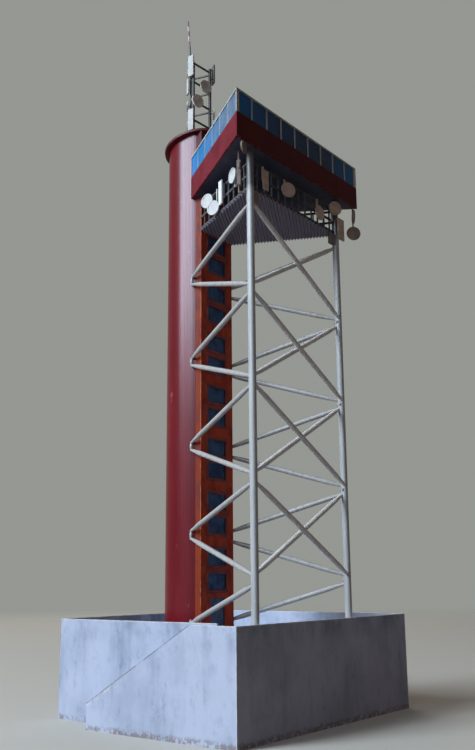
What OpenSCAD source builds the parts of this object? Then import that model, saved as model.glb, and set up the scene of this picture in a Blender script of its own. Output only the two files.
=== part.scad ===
// Card model of an observation tower: a walled court with an outside stair, a round stair shaft with a
// window strip, two round legs braced to the shaft, a gallery with aerials, a wide glazed cabin and an
// open lattice mast on the shaft's roof. Millimetres, +Z up, standing on z = 0. The wide front of the
// cabin faces -Y and the outside stair runs along the -X side.

/* [Court] */
// Length of the court along its front wall
court_w = 96; // [84:1:120]
// Depth of the court from front to back
court_d = 91; // [80:1:110]
// Height of the deck above the ground
deck_h = 27.5; // [20:0.5:40]
// Height of the parapet above the deck
parapet_h = 7.5; // [5:0.5:12]
// Thickness of the court's walls
wall_t = 0.8; // [0.6:0.1:1]
// Thickness of the deck and the landing
deck_t = 1; // [0.6:0.1:2]
// Distance from the tower's centre line to the outside of the left wall
court_left = 29.9; // [29:0.1:40]
// Distance from the plane of the legs to the outside of the front wall
court_front = 2.3; // [2.3:0.1:6]

/* [Stair] */
// Clear width between the left wall and the stair's outer wall
stair_w = 9.9; // [7:0.1:14]
// Number of risers
step_count = 25; // [16:1:34]
// Run of one tread
step_run = 1.9; // [1.4:0.1:2.2]
// Thickness of the folded flight below its treads
flight_t = 1; // [0.8:0.1:2]
// Length of the landing at the top of the stair
landing_d = 19; // [12:0.5:22]
// Width of the way through the left wall onto the deck
entry_w = 15.5; // [8:0.5:18]

/* [Shaft] */
// Outer diameter of the round shaft
drum_d = 23.8; // [21:0.2:30]
// Wall of the shaft's shell
drum_t = 0.6; // [0.4:0.1:1.5]
// Distance from the plane of the legs to the shaft's axis
drum_y = 48.2; // [40:0.1:58]
// Height of the shaft's sloping top above the cabin's roof, on the shaft's axis
shaft_rise = 8.8; // [3.6:0.1:36]
// Overhang of the shaft's roof past the shaft
roof_over = 1.95; // [1.4:0.05:10]
// Thickness of the shaft's roof
roof_t = 1; // [0.5:0.1:3]
// Slope of the shaft's top and its roof, down towards the rear
roof_tilt = 13; // [0:1:20]
// Width of the window strip on the shaft's front
strip_w = 18.9; // [15:0.1:20]
// Distance by which the strip stands in front of the shell's edges
strip_proud = 2.65; // [1:0.05:3]
// Thickness of the window strip's card
strip_t = 0.5; // [0.4:0.1:0.8]

/* [Shaft windows and door] */
// Number of storeys, each with a pair of windows
storeys = 7; // [4:1:7]
// Height from the topmost window's head to the gallery floor's top
window_clear = 1.2; // [1:0.1:6]
// Height of the lowest window's sill above the deck
first_sill = 17.5; // [17:0.5:20]
// Width of a shaft window
window_w = 9.9; // [7:0.1:12]
// Height of a shaft window
window_h = 5.8; // [4:0.1:7]
// Height from a pair's lower sill to its upper sill
pair_rise = 8.7; // [8:0.1:10]
// Thickness of a pane
pane_t = 0.3; // [0.2:0.05:0.6]
// Width by which a pane laps behind the strip on each side
pane_lap = 0.6; // [0.3:0.1:1]
// Width of the shaft's door
door_w = 8; // [6:0.1:10]
// Height of the shaft's door
door_h = 14.6; // [12:0.1:15]

/* [Legs and bracing] */
// Distance between the axes of the two legs
leg_spacing = 56; // [48:1:62]
// Diameter of a leg
leg_d = 2.6; // [2:0.1:3]
// Height from the topmost brace node up to the gallery floor's top
node_drop = 4.5; // [4.5:0.1:17.5]
// Height of the lowest brace node above the deck
foot_node = 20.9; // [16:0.1:42]
// Number of bays between those two nodes
bays = 4; // [3:1:5]
// Diameter of a brace at its middle
brace_d = 1.8; // [1.3:0.1:2.2]
// Diameter of a brace at its pointed ends
brace_tip_d = 0.9; // [0.6:0.1:1.2]
// Length of a brace's taper
brace_taper = 7; // [4:0.5:10]
// Half the height between the two brace ends at one node
node_gap = 1.3; // [1:0.1:2]

/* [Gallery] */
// Height of the gallery floor's top above the ground
gallery_z = 182.5; // [152:0.5:200]
// Pitch of the floor's corrugation
flute_pitch = 1.25; // [1:0.05:3]
// Depth of the floor's corrugation
flute_depth = 0.6; // [0.3:0.1:1]
// Thickness of the corrugated sheet
flute_t = 0.3; // [0.2:0.05:0.6]
// Direction of the corrugation, measured from the front edge
flute_angle = 31; // [0:1:60]
// Height of the railing above the gallery floor
rail_h = 10; // [7:0.5:12]
// Thickness of a rail
rail_t = 0.7; // [0.5:0.1:1]
// Thickness of a railing post
post_t = 0.5; // [0.4:0.05:0.7]
// Greatest distance between two railing posts
post_pitch = 4.5; // [3:0.1:8]
// Reach of the plate under each front corner of the gallery, inwards from the leg
plate_w = 3; // [2:0.1:5]
// Height of that plate
plate_h = 4; // [2:0.1:4]
// Thickness of that plate
plate_t = 1.6; // [0.8:0.1:2]

/* [Cabin] */
// Width of the cabin's front
cabin_w = 79.8; // [66:0.2:96]
// Distance from the plane of the legs to the cabin's front face
cabin_front = 3.6; // [2.4:0.1:6]
// Place round the shaft where a flank of the cabin meets it, as an angle from the shaft's side to its front
cabin_meet = 27.7; // [20:0.1:31]
// Height from the gallery floor's top to the cabin floor's underside
gallery_clear = 13.9; // [12.5:0.1:23]
// Height of the red band from the floor's underside to the window sills
band_h = 9.1; // [6:0.1:12]
// Height of the window band with its top rail
glazing_h = 8.9; // [6:0.1:12]
// Thickness of the cabin's walls
cabin_t = 0.8; // [0.6:0.1:1]
// Thickness of the window frames, which stand on the front edge of the band
frame_t = 0.3; // [0.2:0.05:0.4]
// Thickness of the cabin's floor and roof
slab_t = 1; // [0.6:0.1:1.5]
// Number of windows across the front
front_windows = 9; // [5:1:12]
// Number of windows along each flank
flank_windows = 6; // [3:1:9]
// Width of a mullion
mullion_w = 0.6; // [0.5:0.1:1.2]
// Height of the rail over the windows
head_h = 0.7; // [0.5:0.1:1.5]

/* [Mast] */
// Distance from the mast's axis to each post's axis
mast_r = 5; // [3.5:0.1:7]
// Turn of the mast about its axis
mast_turn = -13; // [-30:1:30]
// Diameter of a mast post, over twice the bars' thickness so that two bars don't overlap on its face
post_d = 1.3; // [1.3:0.1:1.8]
// Thickness of the mast's bars
bar_t = 0.6; // [0.5:0.05:0.6]
// Height of one bay of the mast
mast_bay = 8.8; // [7:0.1:11]
// Number of bars on each face
mast_bars = 4; // [3:1:6]
// Height from the shaft's roof to the left end of the lowest front bar
mast_foot = 10.9; // [7:0.1:14]
// Fall of a front bar from its left end to its right one
bar_fall = 1.3; // [0:0.1:1.6]
// Height from a front bar's left end down to the level bars of the other faces
bar_drop = 2.5; // [2.5:0.1:4]
// Diameter of the striped rod
rod_d = 0.7; // [0.6:0.1:1.4]
// Length of the rod's dark foot above the post
rod_foot = 13.3; // [4:0.1:15]
// Lean of the rod
rod_lean = 3.5; // [0:0.5:5]
// Direction in which the rod leans, measured from the left towards the rear
rod_lean_turn = 52; // [0:1:90]
// Length of one stripe of the rod
stripe_h = 2.45; // [1.5:0.05:4]
// Number of stripes
stripes = 5; // [3:2:9]

/* [Aerials] */
// Diameter of a large dish
dish_d = 5.7; // [4:0.1:6]
// Diameter of a small dish
small_dish_d = 4.6; // [3:0.1:5]
// Thickness of a dish
dish_t = 0.6; // [0.5:0.1:1]
// Height of a tall panel aerial
panel_h = 9.4; // [6:0.1:11]
// Width of the panel aerial on the left railing
panel_w = 2.7; // [2:0.1:5]
// Width of the panel aerial on the front railing
front_panel_w = 3; // [2:0.1:5]
// Height of the panel aerial on the front railing
front_panel_h = 7.3; // [5:0.1:9]
// Width of the panel aerial on the right leg
leg_panel_w = 4.2; // [2:0.1:5]
// Height of the panel aerial on the right leg
leg_panel_h = 8.8; // [6:0.1:9]
// Width of a panel aerial on the mast
mast_panel_w = 2.8; // [1.5:0.1:4]
// Thickness of a panel aerial
panel_t = 0.6; // [0.5:0.1:1.2]
// Gap between an aerial's back and what carries it
stand_off = 0.6; // [0.4:0.1:1]
// Thickness of the stubs, poles and thin rods that carry the aerials
stub_d = 0.6; // [0.4:0.1:1]
// Reach of the arm of a dish that is turned to one side
arm_l = 1.2; // [1:0.1:2]
// Turn of such a dish away from the railing's outward direction
dish_turn = 25; // [0:1:30]
// Distance of the aerial pole at the left leg, outwards from the leg's axis
pole_out = 2.8; // [2:0.1:4]
// Depth of that pole's foot below the gallery floor's top
pole_drop = 2.5; // [1.5:0.1:3]
// Distance of the left hanging dish from the cabin's left corner
left_hang = 4.2; // [3:0.1:8]
// Distance of the left hanging dish behind the cabin's front face
left_hang_back = 0.7; // [0.5:0.1:3]
// Distance of the right hanging dishes from the cabin's right corner
right_hang = 1.2; // [1.2:0.1:6]
// Distance of the right hanging dishes behind the cabin's front face
right_hang_back = 1.5; // [0.5:0.1:1.5]
// Length of the rod of the lower right hanging dish, down to the dish's rim
hang_drop = 8; // [7:0.1:10]
// Place of the first turned dish on the left railing, as a part of its length from the shaft
left_dish_a = 0.26; // [0.2:0.01:0.3]
// Place of the second turned dish on the left railing
left_dish_b = 0.39; // [0.36:0.01:0.42]
// Place of the panel on the left railing
left_panel_at = 0.52; // [0.49:0.01:0.62]
// Place of the flat dish on the left railing
left_dish_c = 0.76; // [0.72:0.01:0.8]
// Height of the first turned dish on the left railing, as a part of the railing's height
left_dish_a_up = 0.7; // [0.5:0.01:0.9]
// Height of the second turned dish on the left railing
left_dish_b_up = 0.2; // [0.1:0.01:0.5]
// Height of the flat dish on the left railing
left_dish_c_up = 0.84; // [0.5:0.01:0.95]
// Height of the middle of the panel on the left railing
left_panel_up = 0.6; // [0.45:0.01:0.8]
// Place of the panel on the front railing, as a part of its length from the left leg
front_panel_at = 0.12; // [0.1:0.01:0.25]
// Place of the first turned dish on the front railing
front_dish_a = 0.36; // [0.3:0.01:0.6]
// Place of the flat dish on the front railing
front_dish_b = 0.75; // [0.7:0.01:0.8]
// Place of the second turned dish on the front railing
front_dish_c = 0.94; // [0.9:0.01:0.95]
// Height of the first turned dish on the front railing, as a part of the railing's height
front_dish_a_up = 0.54; // [0.3:0.01:0.9]
// Height of the flat dish on the front railing
front_dish_b_up = 0.39; // [0.3:0.01:0.9]
// Height of the second turned dish on the front railing
front_dish_c_up = 0.92; // [0.9:0.01:0.95]
// Height of the middle of the panel on the front railing
front_panel_up = 0.44; // [0.3:0.01:0.7]
// Height of the middle of the panel on the right leg
leg_panel_up = 0.16; // [0:0.01:0.17]

/* [Hidden] */
$fn = 48;
e = 0.01; // how far a cutter runs past the face that it cuts

// Court: places are measured from the tower's centre line (x) and the plane of the legs (y)
court_h = deck_h + parapet_h;
left_x = -court_left; // outside of the left wall
right_x = left_x + court_w;
front_y = -court_front;
back_y = front_y + court_d;
stair_x = left_x - stair_w - wall_t; // outside of the stair's outer wall
step_rise = deck_h / step_count;
stair_top_y = front_y + landing_d;
stair_foot_y = stair_top_y + step_run * (step_count - 1);

// The origin is the middle of the footprint: the court and its stair, and the cabin where it reaches past
foot_left = min(stair_x, -cabin_w / 2);
foot_right = max(right_x, cabin_w / 2);
foot_front = min(front_y, -cabin_front);
origin = [(foot_left + foot_right) / 2, (foot_front + back_y) / 2, 0];

// Heights, each measured from the part below it
top_node = gallery_z - node_drop;
bay_h = (top_node - deck_h - foot_node) / bays;
cabin_z = gallery_z + gallery_clear; // underside of the cabin's floor
sill_z = cabin_z + band_h;
cabin_top = sill_z + glazing_h;
drum_top = cabin_top + shaft_rise;

// Shaft
drum_r = drum_d / 2;
roof_d = drum_d + 2 * roof_over;
edge_y = drum_y - sqrt(drum_r * drum_r - strip_w * strip_w / 4); // where the shell stops behind the strip
strip_y = edge_y - strip_proud; // front of the strip
drum_h = drum_top - deck_h + drum_r; // tall enough to be cut to the slope of the roof
top_head = gallery_z - window_clear; // head of the topmost window
storey_h = (top_head - window_h - pair_rise - first_sill - deck_h) / (storeys - 1);

// Bracing: nodes on the legs, and half a bay lower on the shaft beside the strip
leg_x = leg_spacing / 2;
leg_h = cabin_z - deck_h;
anchor_x = strip_w / 2 + brace_tip_d;
anchor_y = drum_y - sqrt(drum_r * drum_r - anchor_x * anchor_x);

// Gallery: a trapezium from the legs to the strip's front corners
strip_x = strip_w / 2;
flank_run = [leg_x - strip_x, strip_y]; // along a flank of the gallery, towards the shaft
flank_l = norm(flank_run);
flank_turn = atan2(flank_run[1], flank_run[0]);
mid_rail = rail_h / 2; // height of the middle rail's axis above the floor
top_rail = rail_h - rail_t / 2; // height of the top rail's axis above the floor

// Cabin: a trapezium whose flanks run back until they meet the shaft
cabin_x = cabin_w / 2;
cabin_rear = drum_y - drum_r * sin(cabin_meet);
// from a front corner of the cabin to the place where the flank meets the shaft
cabin_run = [cabin_x - drum_r * cos(cabin_meet), cabin_rear + cabin_front];
cabin_flank = norm(cabin_run);
cabin_angle = atan2(cabin_run[1], cabin_run[0]); // between the front and a flank
lid_t = head_h - 0.1; // thickness of the roof, just hidden by the head rail

// Mast
mast_base = drum_top + roof_t;
function bar_z(i) = mast_base + mast_foot + mast_bay * i; // left end of a front bar
mast_top = bar_z(mast_bars - 1) + bar_t / 2;
mast_side = mast_r * sqrt(3);
panel_aim = [180, -30, 150]; // angle from +x that a panel on each post faces
dish_aim = [180, -40, 130]; // the same for a dish
function mast_post(i) = [
    mast_r * cos(mast_turn - 150 + 120 * i),
    drum_y + mast_r * sin(mast_turn - 150 + 120 * i),
    0
];

// Places a solid that is drawn from the tower's centre line and the plane of the legs
module placed() {
    translate(-origin) children();
}

// Mirrors a solid from the left side to the right side
module right_side() {
    mirror([1, 0, 0]) children();
}

// A box given by its lowest and highest corners
module block(low, high) {
    translate(low) cube(high - low);
}

// A round bar from p to q whose diameter falls to tip_d at both ends
module brace(p, q) {
    run = q - p;
    l = norm(run);
    translate(p)
        rotate([0, acos(run[2] / l), atan2(run[1], run[0])])
            rotate_extrude()
                polygon([
                    [0, 0], [brace_tip_d / 2, 0], [brace_d / 2, brace_taper],
                    [brace_d / 2, l - brace_taper], [brace_tip_d / 2, l], [0, l]
                ]);
}

// A square bar from p to q, lying flat
module square_bar(p, q, t) {
    run = q - p;
    l = norm(run);
    translate(p)
        rotate([0, acos(run[2] / l), atan2(run[1], run[0])])
            translate([-t / 2, -t / 2, 0]) cube([t, t, l]);
}

// ---- Court ----

module front_wall() {
    color("gainsboro")
        placed() block([left_x, front_y, 0], [right_x, front_y + wall_t, court_h]);
}

module right_wall() {
    color("gainsboro")
        placed() block([right_x - wall_t, front_y + wall_t, 0], [right_x, back_y - wall_t, court_h]);
}

module back_wall() {
    color("gainsboro")
        placed() block([left_x, back_y - wall_t, 0], [right_x, back_y, court_h]);
}

// The left wall drops to the deck's level where the landing meets the deck
module left_wall() {
    color("gainsboro")
        placed() difference() {
            block([left_x, front_y + wall_t, 0], [left_x + wall_t, back_y - wall_t, court_h]);
            block([left_x - e, front_y + wall_t - e, deck_h],
                  [left_x + wall_t + e, front_y + wall_t + entry_w, court_h + e]);
        }
}

module deck() {
    color("lightgray")
        placed() block([left_x + wall_t, front_y + wall_t, deck_h - deck_t],
                       [right_x - wall_t, back_y - wall_t, deck_h]);
}

module landing() {
    color("lightgray")
        placed() block([stair_x + wall_t, front_y + wall_t, deck_h - deck_t],
                       [left_x, stair_top_y, deck_h]);
}

// Treads and risers folded from one strip, between the two walls
module stair_flight() {
    top = [for (i = [0 : step_count - 2]) for (j = [0, 1])
        [stair_top_y + step_run * (i + j), deck_h - step_rise * (i + 1)]];
    under = [[stair_foot_y - flight_t * 2, 0], [stair_top_y, deck_h - step_rise - flight_t * 2]];
    color("darkgray")
        placed() translate([left_x, 0, 0])
            rotate([90, 0, -90]) mirror([1, 0, 0])
                linear_extrude(height = stair_w)
                    polygon(concat(top, [[stair_foot_y, 0]], under));
}

// The outer wall follows the flight, then turns across the end of the landing
module stair_wall() {
    slope = step_rise / step_run;
    side = [
        [front_y, 0], [stair_foot_y, 0],
        [stair_foot_y, court_h - slope * (stair_foot_y - stair_top_y)],
        [stair_top_y, court_h], [front_y, court_h]
    ];
    color("gainsboro")
        placed() union() {
            translate([stair_x + wall_t, 0, 0])
                rotate([90, 0, -90]) mirror([1, 0, 0])
                    linear_extrude(height = wall_t) polygon(side);
            block([stair_x + wall_t - e, front_y, 0], [left_x, front_y + wall_t, court_h]);
        }
}

// ---- Shaft ----

module drum_outside() {
    translate([0, drum_y, deck_h - e]) cylinder(h = drum_h + 2 * e, r = drum_r);
}

// Along the shaft's sloping top: z = 0 is the underside of the roof
module on_slope() {
    translate([0, drum_y, drum_top]) rotate([-roof_tilt, 0, 0]) children();
}

// All that lies over the shaft's sloping top
module over_slope() {
    on_slope() cylinder(h = 2 * drum_d, d = 2 * roof_d);
}

// A round shell, open at the front where the window strip closes it
module drum() {
    color("firebrick")
        placed() difference() {
            translate([0, drum_y, deck_h]) cylinder(h = drum_h, r = drum_r);
            translate([0, drum_y, deck_h - e]) cylinder(h = drum_h + 2 * e, r = drum_r - drum_t);
            block([-drum_r, drum_y - drum_r - e, deck_h - e], [drum_r, edge_y, deck_h + drum_h + e]);
            over_slope();
        }
}

module drum_roof() {
    color("maroon") placed() on_slope() cylinder(h = roof_t, d = roof_d);
}

// Lower corner of one shaft window
function window_sill(storey, upper) = deck_h + first_sill + storey * storey_h + upper * pair_rise;

// A shallow tray with the window holes and the door hole cut through its face
module window_strip() {
    color("chocolate")
        placed() difference() {
            block([-strip_x, strip_y, deck_h], [strip_x, edge_y, deck_h + drum_h]);
            block([-strip_x + drum_t, strip_y + strip_t, deck_h - e],
                  [strip_x - drum_t, edge_y + e, deck_h + drum_h + e]);
            for (storey = [0 : storeys - 1], upper = [0, 1])
                block([-window_w / 2, strip_y - e, window_sill(storey, upper)],
                      [window_w / 2, strip_y + strip_t + e, window_sill(storey, upper) + window_h]);
            block([-door_w / 2, strip_y - e, deck_h - e],
                  [door_w / 2, strip_y + strip_t + e, deck_h + door_h]);
            over_slope();
        }
}

// One pane behind each hole of the strip
module stair_windows() {
    color("steelblue")
        placed() for (storey = [0 : storeys - 1], upper = [0, 1])
            block([-window_w / 2 - pane_lap, strip_y + strip_t, window_sill(storey, upper) - pane_lap],
                  [window_w / 2 + pane_lap, strip_y + strip_t + pane_t,
                   window_sill(storey, upper) + window_h + pane_lap]);
}

module shaft_door() {
    color("slategray")
        placed() block([-door_w / 2 - pane_lap, strip_y + strip_t, deck_h],
                       [door_w / 2 + pane_lap, strip_y + strip_t + pane_t, deck_h + door_h + pane_lap]);
}

// ---- Legs and bracing ----

module leg_bar(grow = 0) {
    translate([-leg_x, 0, deck_h - grow]) cylinder(h = leg_h + 2 * grow, d = leg_d);
}

module left_leg() {
    color("silver") placed() leg_bar();
}

module right_leg() {
    color("silver") placed() right_side() leg_bar();
}

function node_z(i) = top_node - bay_h * i;

// Two braces cross in each bay and are glued where they touch, one in front of the other
module front_bracing() {
    slip = brace_d * 0.35; // half the distance between the planes of the two braces
    color("silver")
        placed() difference() {
            for (i = [0 : bays - 1]) {
                brace([-leg_x, -slip, node_z(i) - node_gap], [leg_x, -slip, node_z(i + 1) + node_gap]);
                brace([leg_x, slip, node_z(i) - node_gap], [-leg_x, slip, node_z(i + 1) + node_gap]);
            }
            leg_bar(e);
            right_side() leg_bar(e);
        }
}

// A zigzag of braces from the leg to the shaft, with its ends cut to the round faces
module flank_bracing() {
    difference() {
        for (i = [0 : bays]) {
            anchor = [-anchor_x, anchor_y, node_z(i) - bay_h / 2];
            brace([-leg_x, 0, node_z(i) - node_gap], anchor + [0, 0, node_gap]);
            if (i < bays)
                brace([-leg_x, 0, node_z(i + 1) + node_gap], anchor - [0, 0, node_gap]);
        }
        leg_bar(e);
        drum_outside();
    }
}

module left_bracing() {
    color("silver") placed() flank_bracing();
}

module right_bracing() {
    color("silver") placed() right_side() flank_bracing();
}

// ---- Gallery ----

// The gallery's plan, with its front and flanks moved outwards
function gallery_plan(out) = [
    [-leg_x - out * (1 + cos(flank_turn)) / sin(flank_turn), -out],
    [leg_x + out * (1 + cos(flank_turn)) / sin(flank_turn), -out],
    [strip_x + out / sin(flank_turn), strip_y],
    [-strip_x - out / sin(flank_turn), strip_y]
];

// Along the front edge: x runs from the left leg to the right one and -y points outwards
module on_front() {
    translate([-leg_x, 0, gallery_z]) children();
}

// Along the left flank: x runs from the window strip to the left leg and -y points outwards
module on_flank() {
    translate([-strip_x, strip_y, gallery_z]) rotate([0, 0, 180 + flank_turn]) children();
}

// A corrugated sheet cut to the gallery's plan and round the legs
module gallery_floor() {
    reach = leg_spacing;
    waves = ceil(2 * reach / flute_pitch);
    shape = [[0, 0], [0.2, 0], [0.5, 1], [0.7, 1]]; // flat trough, slope, flat crest
    wave = [for (i = [0 : waves - 1]) for (p = shape)
        [-reach + (i + p[0]) * flute_pitch, (p[1] - 1) * flute_depth]];
    under = [for (i = [len(wave) - 1 : -1 : 0]) wave[i] - [0, flute_t]];
    depth = flute_depth + flute_t;
    color("dimgray")
        placed() difference() {
            intersection() {
                translate([0, 0, gallery_z]) rotate([0, 0, flute_angle]) rotate([90, 0, 90])
                    translate([0, 0, -reach]) linear_extrude(height = 2 * reach)
                        polygon(concat(wave, under));
                translate([0, 0, gallery_z - depth - e])
                    linear_extrude(height = depth + 2 * e) polygon(gallery_plan(rail_t / 2));
            }
            leg_bar();
            right_side() leg_bar();
        }
}

// A straight railing of length l: three rails and evenly spaced posts
module railing(l) {
    gaps = ceil(l / post_pitch);
    for (z = [0, mid_rail - rail_t / 2, rail_h - rail_t])
        block([0, -rail_t / 2, z], [l, rail_t / 2, z + rail_t]);
    for (i = [1 : gaps - 1])
        translate([l * i / gaps, 0, 0])
            block([-post_t / 2, -post_t / 2, e], [post_t / 2, post_t / 2, rail_h - e]);
}

module front_railing() {
    color("dimgray")
        placed() difference() {
            on_front() railing(leg_spacing);
            leg_bar();
            right_side() leg_bar();
        }
}

// A flank's railing, cut to the leg's round face and to the front of the window strip
module flank_railing() {
    difference() {
        on_flank() translate([-rail_t, 0, 0]) railing(flank_l + rail_t);
        leg_bar();
        block([-leg_x, strip_y, gallery_z - e], [0, strip_y + leg_x, gallery_z + rail_h + e]);
    }
}

module left_railing() {
    color("lightgray") placed() flank_railing();
}

module right_railing() {
    color("lightgray") placed() right_side() flank_railing();
}

// A bracket plate on the inside of each leg, under the gallery's front corner
module leg_plates() {
    top = gallery_z - flute_depth - flute_t;
    color("dimgray")
        placed() for (side = [0, 1]) mirror([side, 0, 0])
            difference() {
                block([-leg_x, -plate_t / 2, top - plate_h],
                      [-leg_x + leg_d / 2 + plate_w, plate_t / 2, top]);
                leg_bar();
            }
}

// ---- Aerials ----

// A round disc that faces -y, with its back on y = 0 and a raised rim
module dish(d) {
    rim = d / 12;
    rotate([90, 0, 0]) difference() {
        cylinder(h = dish_t, d = d);
        translate([0, 0, dish_t * 0.75]) cylinder(h = dish_t, d = d - 2 * rim);
    }
}

// A panel that faces -y, with its back on y = 0
module panel(w, h) {
    block([-w / 2, -panel_t, -h / 2], [w / 2, 0, h / 2]);
}

// A round stub from y = -l to y = 0
module stub(l) {
    rotate([90, 0, 0]) cylinder(h = l, d = stub_d);
}

// A square pole that stands against the outer faces of the middle and the top rail
module rail_pole(low = mid_rail - rail_t) {
    block([-stub_d / 2, -rail_t / 2 - stub_d, low], [stub_d / 2, -rail_t / 2, rail_h]);
}

// A dish on a rail pole, turned about the end of its arm
module turned_dish(up, turn, d) {
    face = rail_t / 2 + stub_d;
    rail_pole(min(mid_rail - rail_t, up - stub_d));
    translate([0, -face + e, up]) stub(arm_l + e);
    translate([0, -face - arm_l, up]) sphere(d = stub_d * 1.2);
    translate([0, -face - arm_l, up]) rotate([0, 0, turn]) dish(d);
}

// A dish or a panel on a rail pole, parallel to the rails
module flat_aerial(up) {
    face = rail_t / 2 + stub_d;
    rail_pole();
    translate([0, -face + e, max(up, mid_rail)]) stub(stand_off + 2 * e);
    translate([0, -face - stand_off, up]) children();
}

// Two round dishes near the shaft, turned outwards, and one parallel to the rails near the leg
module left_dishes() {
    color("whitesmoke")
        placed() on_flank() {
            translate([flank_l * left_dish_a, 0, 0]) turned_dish(rail_h * left_dish_a_up, dish_turn, dish_d);
            translate([flank_l * left_dish_b, 0, 0]) turned_dish(rail_h * left_dish_b_up, dish_turn, dish_d);
            translate([flank_l * left_dish_c, 0, 0]) flat_aerial(rail_h * left_dish_c_up) dish(dish_d);
        }
}

module left_panels() {
    color("whitesmoke")
        placed() on_flank() translate([flank_l * left_panel_at, 0, 0])
            flat_aerial(rail_h * left_panel_up) panel(panel_w, panel_h);
}

module front_dishes() {
    color("tan")
        placed() on_front() {
            translate([leg_spacing * front_dish_a, 0, 0])
                turned_dish(rail_h * front_dish_a_up, -dish_turn, dish_d);
            translate([leg_spacing * front_dish_b, 0, 0])
                flat_aerial(rail_h * front_dish_b_up) dish(dish_d);
            translate([leg_spacing * front_dish_c, 0, 0])
                turned_dish(rail_h * front_dish_c_up, -dish_turn, dish_d);
        }
}

// A panel on the railing and one on the front of the right leg
module front_panels() {
    color("tan")
        placed() {
            on_front() translate([leg_spacing * front_panel_at, 0, 0])
                flat_aerial(rail_h * front_panel_up) panel(front_panel_w, front_panel_h);
            difference() {
                translate([leg_x, 0, gallery_z + rail_h * leg_panel_up]) {
                    for (up = [-1, 1])
                        translate([0, 0, up * leg_panel_h / 4]) stub(leg_d / 2 + stand_off + e);
                    translate([leg_panel_w / 6, -leg_d / 2 - stand_off, 0])
                        panel(leg_panel_w, leg_panel_h);
                }
                right_side() leg_bar();
            }
        }
}

// A pole between a bracket on the left leg and the cabin's floor, with its aerials
module corner_aerials() {
    foot = [-leg_x - pole_out, pole_out, gallery_z - pole_drop];
    hang = [-cabin_x + left_hang, -cabin_front + left_hang_back, cabin_z];
    middle = (cabin_z - foot[2]) / 2; // half the pole's length
    color("whitesmoke")
        placed() {
            translate(foot) cylinder(h = cabin_z - foot[2], d = stub_d);
            difference() {
                square_bar(foot + [0, 0, stub_d / 2], [-leg_x, 0, foot[2] + stub_d / 2], stub_d);
                leg_bar();
            }
            translate(foot + [0, 0, middle - stub_d]) rotate([0, 0, -60]) panel(panel_w / 2, panel_h);
            translate(foot + [0, 0, middle + panel_h / 5]) rotate([0, 0, 20])
                translate([stub_d, 0, 0]) dish(small_dish_d * 0.8);
            translate(foot + [0, 0, middle - panel_h / 3]) rotate([0, 0, 10])
                translate([stub_d, 0, 0]) panel(stub_d * 2, panel_h / 2);
            hanging_dish(hang, stub_d, 15, small_dish_d);
        }
}

// A dish at the lower end of a rod that hangs from p
module hanging_dish(p, drop, turn, d) {
    l = drop + d / 2;
    translate(p - [0, 0, l]) cylinder(h = l, d = stub_d);
    translate(p - [0, 0, l]) rotate([0, 0, turn]) dish(d);
}

// Two dishes on one rod under the cabin's right corner
module hanging_aerials() {
    hang = [cabin_x - right_hang, -cabin_front + right_hang_back, cabin_z];
    color("saddlebrown")
        placed() {
            hanging_dish(hang, hang_drop, -45, dish_d);
            translate(hang - [0, 0, dish_d / 2 + stub_d]) rotate([0, 0, 40]) dish(dish_d);
        }
}

// ---- Cabin ----

// Along the cabin's left flank: x runs from the shaft to the front corner and -y points outwards
module on_cabin_flank() {
    translate([-cabin_x, -cabin_front, 0]) rotate([0, 0, 180 + cabin_angle]) children();
}

// How far a face that is set in by t falls short of a front corner, along the front or the flank
function cabin_mitre(t) = t * (1 + cos(cabin_angle)) / sin(cabin_angle);

// The cabin's plan inside walls of thickness t, back to the shaft
function cabin_plan(t) = [
    [-cabin_x + cabin_mitre(t), -cabin_front + t],
    [cabin_x - cabin_mitre(t), -cabin_front + t],
    [cabin_x - cabin_flank * cos(cabin_angle) - t / sin(cabin_angle), cabin_rear],
    [-cabin_x + cabin_flank * cos(cabin_angle) + t / sin(cabin_angle), cabin_rear]
];

// A plate inside walls of thickness t, cut round the shaft and the window strip
module cabin_plate(low, high, t) {
    difference() {
        translate([0, 0, low]) linear_extrude(height = high - low) polygon(cabin_plan(t));
        drum_outside();
        block([-strip_x, strip_y, low - e], [strip_x, drum_y, high + e]);
    }
}

module cabin_floor() {
    color("darkslategray") placed() cabin_plate(cabin_z, cabin_z + slab_t, cabin_t);
}

module cabin_roof() {
    color("gray") placed() cabin_plate(cabin_top - lid_t, cabin_top, frame_t);
}

// A strip of the front wall, between depths t0 and t1 behind its face, mitred at both corners
module front_strip(low, high, t0, t1) {
    translate([0, -cabin_front, low])
        linear_extrude(height = high - low)
            polygon([
                [-cabin_x + cabin_mitre(t0), t0], [cabin_x - cabin_mitre(t0), t0],
                [cabin_x - cabin_mitre(t1), t1], [-cabin_x + cabin_mitre(t1), t1]
            ]);
}

// The same for the left flank, ending at the shaft's round face
module flank_strip(low, high, t0, t1) {
    difference() {
        on_cabin_flank() translate([0, 0, low])
            linear_extrude(height = high - low)
                polygon([
                    [-cabin_flank - drum_t, t0], [-cabin_mitre(t0), t0],
                    [-cabin_mitre(t1), t1], [-cabin_flank - drum_t, t1]
                ]);
        drum_outside();
    }
}

// Holes of a window row of length l between mullions, cut through from the face
module window_row(l, count) {
    pitch = l / count;
    for (i = [0 : count - 1])
        block([pitch * i + mullion_w / 2, -e, sill_z],
              [pitch * (i + 1) - mullion_w / 2, frame_t + e, cabin_top - head_h]);
}

module cabin_front_band() {
    color("firebrick") placed() front_strip(cabin_z, sill_z, 0, cabin_t);
}

module cabin_left_band() {
    color("firebrick") placed() flank_strip(cabin_z, sill_z, 0, cabin_t);
}

module cabin_right_band() {
    color("firebrick") placed() right_side() flank_strip(cabin_z, sill_z, 0, cabin_t);
}

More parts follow.
